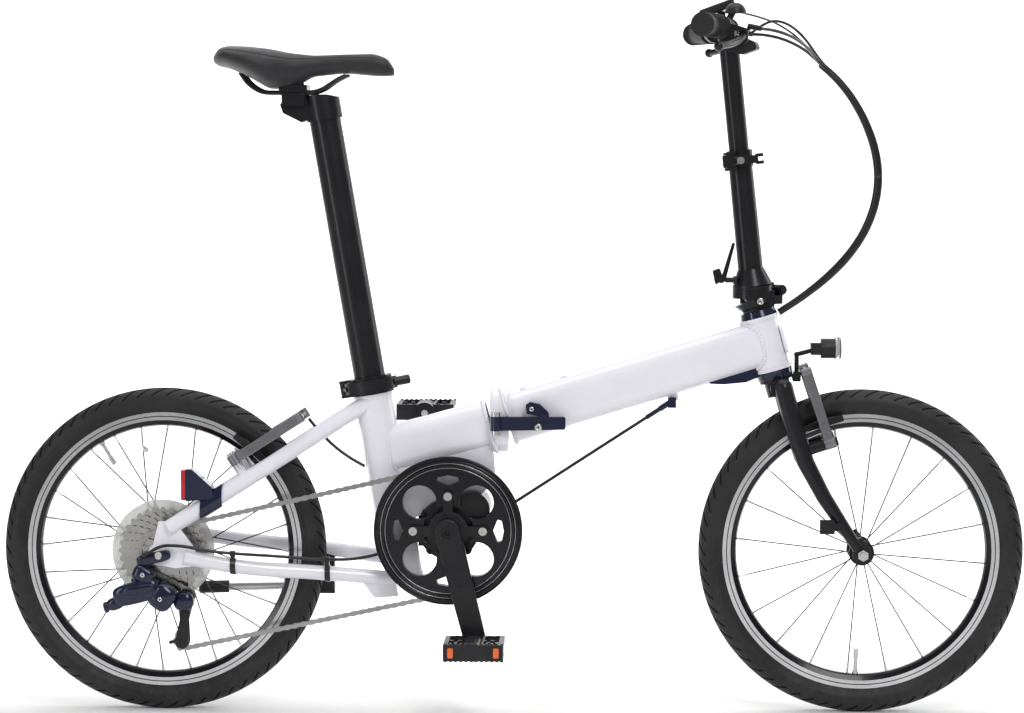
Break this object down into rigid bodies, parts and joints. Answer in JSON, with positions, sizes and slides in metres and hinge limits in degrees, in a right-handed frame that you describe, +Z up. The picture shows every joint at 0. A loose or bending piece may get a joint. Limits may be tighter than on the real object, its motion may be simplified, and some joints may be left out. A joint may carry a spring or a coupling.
{
  "type": "folding bicycle",
  "caption": "Electric-assist folding bicycle with small wheels, hinged main tube, folding telescopic handlepost and battery seat post.",
  "frame": {"origin": "on the ground, midway between the two wheels, in the bicycle's middle plane", "axes": "+X forward, +Y to the rider's left, +Z up"},
  "size_m": [1.532, 0.5668, 1.069],
  "materials": {
    "white_paint": "gloss",
    "black_alloy": "satin",
    "navy_alloy": "satin",
    "silver_alloy": "satin",
    "grey_alloy": "satin",
    "steel": "satin",
    "tyre_rubber": "matt",
    "grip_rubber": "matt",
    "saddle_cover": "matt",
    "black_plastic": "satin",
    "clear_plastic": "gloss",
    "red_lens": "gloss",
    "cable_housing": "satin"
  },
  "bodies": {
    "rear_frame": {"rear_frame": "white_paint", "rear_stays": "white_paint", "motor_unit": "black_alloy", "hinge_pins": "steel", "rear_axle": "steel", "seat_clamp_ring": "black_alloy", "rear_derailleur": "navy_alloy", "chain": "steel", "rear_reflector": "red_lens", "rear_cables": "cable_housing"},
    "seat_lever": {"seat_lever": "black_alloy"},
    "seat_post": {"seat_post": "black_alloy", "post_head": "black_alloy", "saddle": "saddle_cover", "saddle_rails": "steel"},
    "kickstand": {"kickstand": "silver_alloy"},
    "rear_wheel": {"rear_tyre": "tyre_rubber", "rear_rim": "silver_alloy", "rear_spokes": "steel", "rear_hub": "black_alloy", "spoke_protector": "clear_plastic"},
    "cassette": {"cassette": "steel"},
    "upper_jockey_wheel": {"upper_jockey_wheel": "black_plastic"},
    "lower_jockey_wheel": {"lower_jockey_wheel": "black_plastic"},
    "crank": {"chainring": "steel", "chainring_guards": "black_alloy", "right_crank": "black_alloy", "left_crank": "black_alloy", "crank_and_pedal_axles": "steel"},
    "right_pedal": {"right_pedal": "black_plastic"},
    "left_pedal": {"left_pedal": "black_plastic"},
    "rear_brake_arm_right": {"rear_brake_arm_right": "grey_alloy"},
    "rear_brake_arm_left": {"rear_brake_arm_left": "grey_alloy"},
    "frame_latch": {"frame_latch": "navy_alloy"},
    "front_frame": {"front_frame": "white_paint", "headset_cups": "navy_alloy", "front_frame_fittings": "navy_alloy", "support_cable": "cable_housing"},
    "latch_lock": {"latch_lock": "navy_alloy"},
    "fork": {"fork": "black_alloy", "front_axle": "steel", "post_base": "black_alloy"},
    "headlight": {"headlight": "black_plastic"},
    "front_wheel": {"front_tyre": "tyre_rubber", "front_rim": "silver_alloy", "front_spokes": "steel", "front_hub": "black_alloy"},
    "front_brake_arm_right": {"front_brake_arm_right": "grey_alloy"},
    "front_brake_arm_left": {"front_brake_arm_left": "grey_alloy"},
    "handlepost": {"handlepost": "black_alloy", "cable_sleeve": "cable_housing"},
    "post_latch": {"post_latch": "black_alloy"},
    "collar_lever": {"collar_lever": "black_alloy"},
    "bar": {"inner_post": "black_alloy", "handlebar": "black_alloy", "grips": "grip_rubber", "bar_controls": "black_plastic", "upper_cables": "cable_housing"},
    "brake_lever_right": {"brake_lever_right": "black_alloy"},
    "brake_lever_left": {"brake_lever_left": "black_alloy"}
  },
  "joints": [
    {"name": "seat_post_height", "type": "slide", "parent": "rear_frame", "child": "seat_post", "axis": [-0.1685, 0, 0.9857], "range_m": [-0.355, 0.02]},
    {"name": "seat_lever_swing", "type": "hinge", "parent": "rear_frame", "child": "seat_lever", "pos_m": [-0.25111, 0, 0.48399], "axis": [-0.1685, 0, 0.9857], "range_deg": [-110, 0]},
    {"name": "kickstand_swing", "type": "hinge", "parent": "rear_frame", "child": "kickstand", "pos_m": [-0.285, 0.064, 0.18], "axis": [0, 1, 0], "range_deg": [-75, 0]},
    {"name": "rear_wheel_spin", "type": "hinge", "parent": "rear_frame", "child": "rear_wheel", "pos_m": [-0.523, 0, 0.243], "axis": [0, 1, 0], "continuous": true},
    {"name": "crank_spin", "type": "hinge", "parent": "rear_frame", "child": "crank", "pos_m": [-0.0936, 0, 0.2776], "axis": [0, 1, 0], "continuous": true},
    {"name": "cassette_spin", "type": "hinge", "parent": "rear_frame", "child": "cassette", "pos_m": [-0.523, 0, 0.243], "axis": [0, 1, 0], "continuous": true},
    {"name": "upper_jockey_spin", "type": "hinge", "parent": "rear_frame", "child": "upper_jockey_wheel", "pos_m": [-0.486, 0, 0.176], "axis": [0, 1, 0], "continuous": true},
    {"name": "lower_jockey_spin", "type": "hinge", "parent": "rear_frame", "child": "lower_jockey_wheel", "pos_m": [-0.492, 0, 0.109], "axis": [0, 1, 0], "continuous": true},
    {"name": "right_pedal_spin", "type": "hinge", "parent": "crank", "child": "right_pedal", "pos_m": [-0.05161, -0.125, 0.11287], "axis": [0, 1, 0], "continuous": true},
    {"name": "left_pedal_spin", "type": "hinge", "parent": "crank", "child": "left_pedal", "pos_m": [-0.13559, 0.125, 0.44233], "axis": [0, 1, 0], "continuous": true},
    {"name": "rear_brake_right_swing", "type": "hinge", "parent": "rear_frame", "child": "rear_brake_arm_right", "pos_m": [-0.414, -0.046, 0.382], "axis": [-0.5346, 0, 0.8451], "range_deg": [0, 2.4], "stiffness_Nm_per_rad": 3},
    {"name": "rear_brake_left_swing", "type": "hinge", "parent": "rear_frame", "child": "rear_brake_arm_left", "pos_m": [-0.414, 0.046, 0.382], "axis": [-0.5346, 0, 0.8451], "range_deg": [-2.4, 0], "stiffness_Nm_per_rad": 3},
    {"name": "frame_latch_swing", "type": "hinge", "parent": "rear_frame", "child": "frame_latch", "pos_m": [-0.023, -0.043, 0.4365], "axis": [0, 0, 1], "range_deg": [-150, 0]},
    {"name": "frame_fold", "type": "hinge", "parent": "rear_frame", "child": "front_frame", "pos_m": [-0.018, 0.045, 0.436], "axis": [0, 0, 1], "range_deg": [0, 110]},
    {"name": "latch_lock_swing", "type": "hinge", "parent": "front_frame", "child": "latch_lock", "pos_m": [0.0305, -0.037, 0.459], "axis": [0, 1, 0], "range_deg": [-70, 0]},
    {"name": "steering", "type": "hinge", "parent": "front_frame", "child": "fork", "pos_m": [0.3915, 0, 0.5148], "axis": [-0.2656, 0, 0.9641], "range_deg": [-60, 60]},
    {"name": "headlight_tilt", "type": "hinge", "parent": "fork", "child": "headlight", "pos_m": [0.453, 0, 0.5455], "axis": [0, 1, 0], "range_deg": [-15, 15]},
    {"name": "front_wheel_spin", "type": "hinge", "parent": "fork", "child": "front_wheel", "pos_m": [0.523, 0, 0.243], "axis": [0, 1, 0], "continuous": true},
    {"name": "front_brake_right_swing", "type": "hinge", "parent": "fork", "child": "front_brake_arm_right", "pos_m": [0.474, -0.046, 0.409], "axis": [0.9496, 0, 0.3135], "range_deg": [-2.4, 0], "stiffness_Nm_per_rad": 3},
    {"name": "front_brake_left_swing", "type": "hinge", "parent": "fork", "child": "front_brake_arm_left", "pos_m": [0.474, 0.046, 0.409], "axis": [0.9496, 0, 0.3135], "range_deg": [0, 2.4], "stiffness_Nm_per_rad": 3},
    {"name": "handlepost_fold", "type": "hinge", "parent": "fork", "child": "handlepost", "pos_m": [0.388, 0.03, 0.634], "axis": [0.7071, -0.7071, 0], "range_deg": [-160, 0], "deforming": ["cable_sleeve"]},
    {"name": "post_latch_swing", "type": "hinge", "parent": "handlepost", "child": "post_latch", "pos_m": [0.324, -0.016, 0.65], "axis": [1, 0, 0], "range_deg": [0, 90]},
    {"name": "collar_lever_swing", "type": "hinge", "parent": "handlepost", "child": "collar_lever", "pos_m": [0.3206, -0.0337, 0.82604], "axis": [-0.1011, 0, 0.9949], "range_deg": [-100, 0]},
    {"name": "handlebar_height", "type": "slide", "parent": "handlepost", "child": "bar", "axis": [-0.1011, 0, 0.9949], "range_m": [-0.1, 0.02]},
    {"name": "brake_lever_right_pull", "type": "hinge", "parent": "bar", "child": "brake_lever_right", "pos_m": [0.33891, -0.14695, 1.00801], "axis": [0, 0, 1], "range_deg": [-16, 0], "stiffness_Nm_per_rad": 1.5},
    {"name": "brake_lever_left_pull", "type": "hinge", "parent": "bar", "child": "brake_lever_left", "pos_m": [0.33891, 0.14695, 1.00801], "axis": [0, 0, 1], "range_deg": [0, 16], "stiffness_Nm_per_rad": 1.5}
  ],
  "couplings": [
    {"joint": "cassette_spin", "follows": "crank_spin", "ratio": 2.875},
    {"joint": "upper_jockey_spin", "follows": "crank_spin", "ratio": -6.5714},
    {"joint": "lower_jockey_spin", "follows": "crank_spin", "ratio": 6.5714},
    {"joint": "front_brake_right_swing", "follows": "brake_lever_right_pull", "ratio": 0.15},
    {"joint": "front_brake_left_swing", "follows": "brake_lever_right_pull", "ratio": -0.15},
    {"joint": "rear_brake_right_swing", "follows": "brake_lever_left_pull", "ratio": 0.15},
    {"joint": "rear_brake_left_swing", "follows": "brake_lever_left_pull", "ratio": -0.15}
  ]
}
